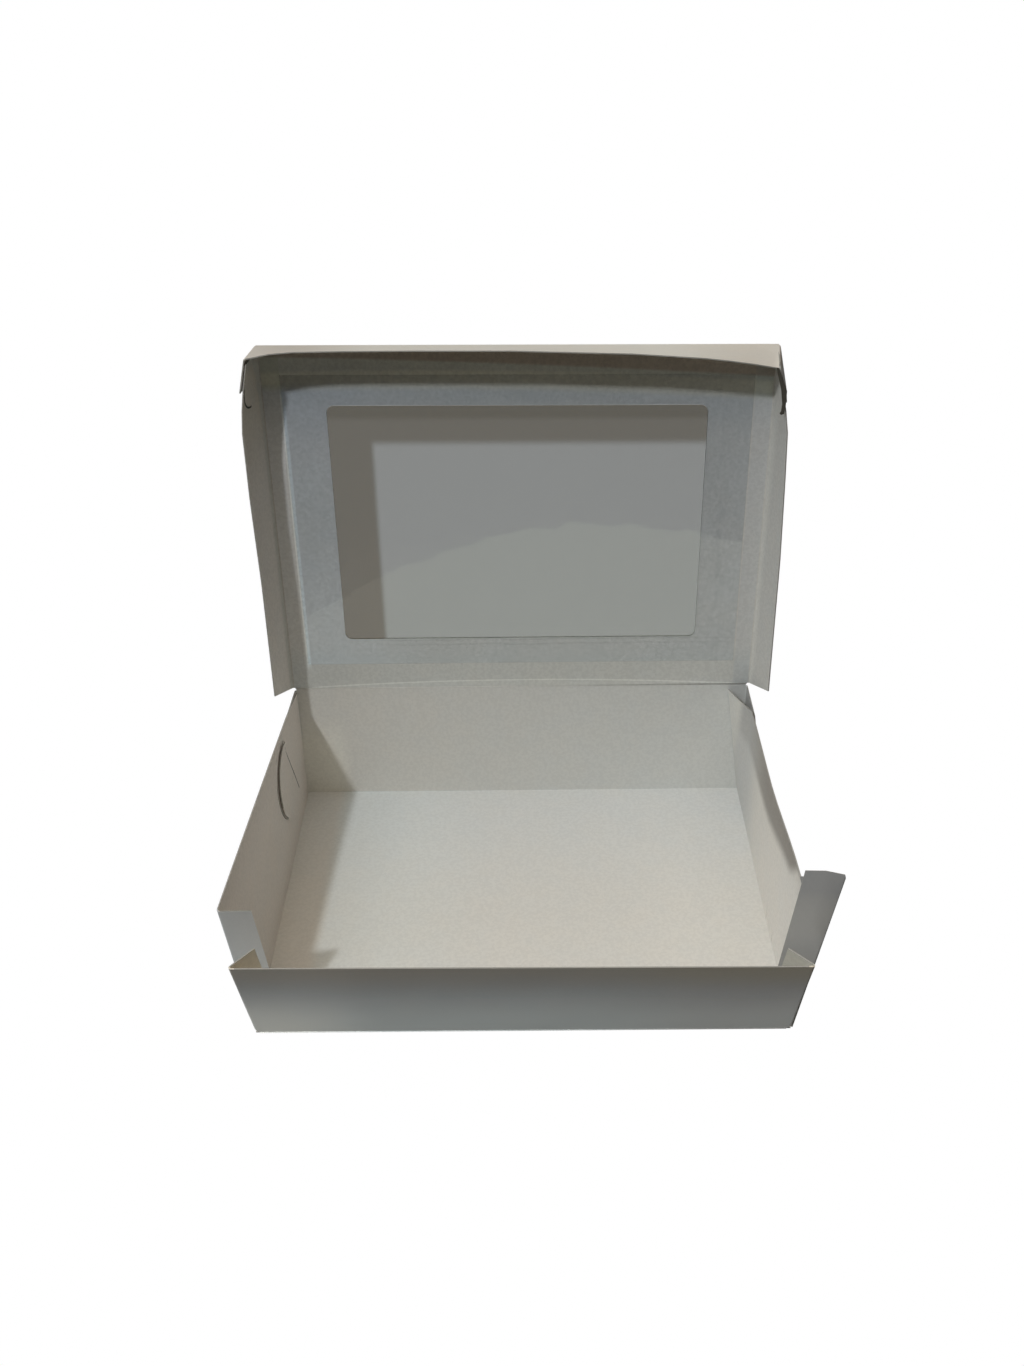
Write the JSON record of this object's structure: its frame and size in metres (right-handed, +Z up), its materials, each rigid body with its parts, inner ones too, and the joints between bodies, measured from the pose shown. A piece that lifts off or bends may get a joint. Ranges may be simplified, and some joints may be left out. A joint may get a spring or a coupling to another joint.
{
  "type": "takeaway box",
  "caption": "White paperboard takeaway box with a shallow window lid standing open and its front wall let down",
  "frame": {"origin": "Under the middle of the base panel, on the resting plane", "axes": "+X along the box's width to the viewer's right, +Y from the front wall to the back wall, +Z up"},
  "size_m": [0.2245, 0.1794, 0.216],
  "materials": {
    "paperboard_inner": "matte",
    "paperboard_outer": "satin",
    "clear_film": "gloss"
  },
  "bodies": {
    "tray": {"tray": "paperboard_inner"},
    "lid": {"lid": "paperboard_inner", "window_film": "clear_film"},
    "front_wall": {"front_wall": "paperboard_outer"}
  },
  "joints": [
    {"name": "lid_fold", "type": "hinge", "parent": "tray", "child": "lid", "pos_m": [0, 0.0755, 0.057], "axis": [1, 0, 0], "range_deg": [-108, 77]},
    {"name": "front_fold", "type": "hinge", "parent": "tray", "child": "front_wall", "pos_m": [0, -0.0755, 0.00022], "axis": [1, 0, 0], "range_deg": [-15, 65]}
  ]
}
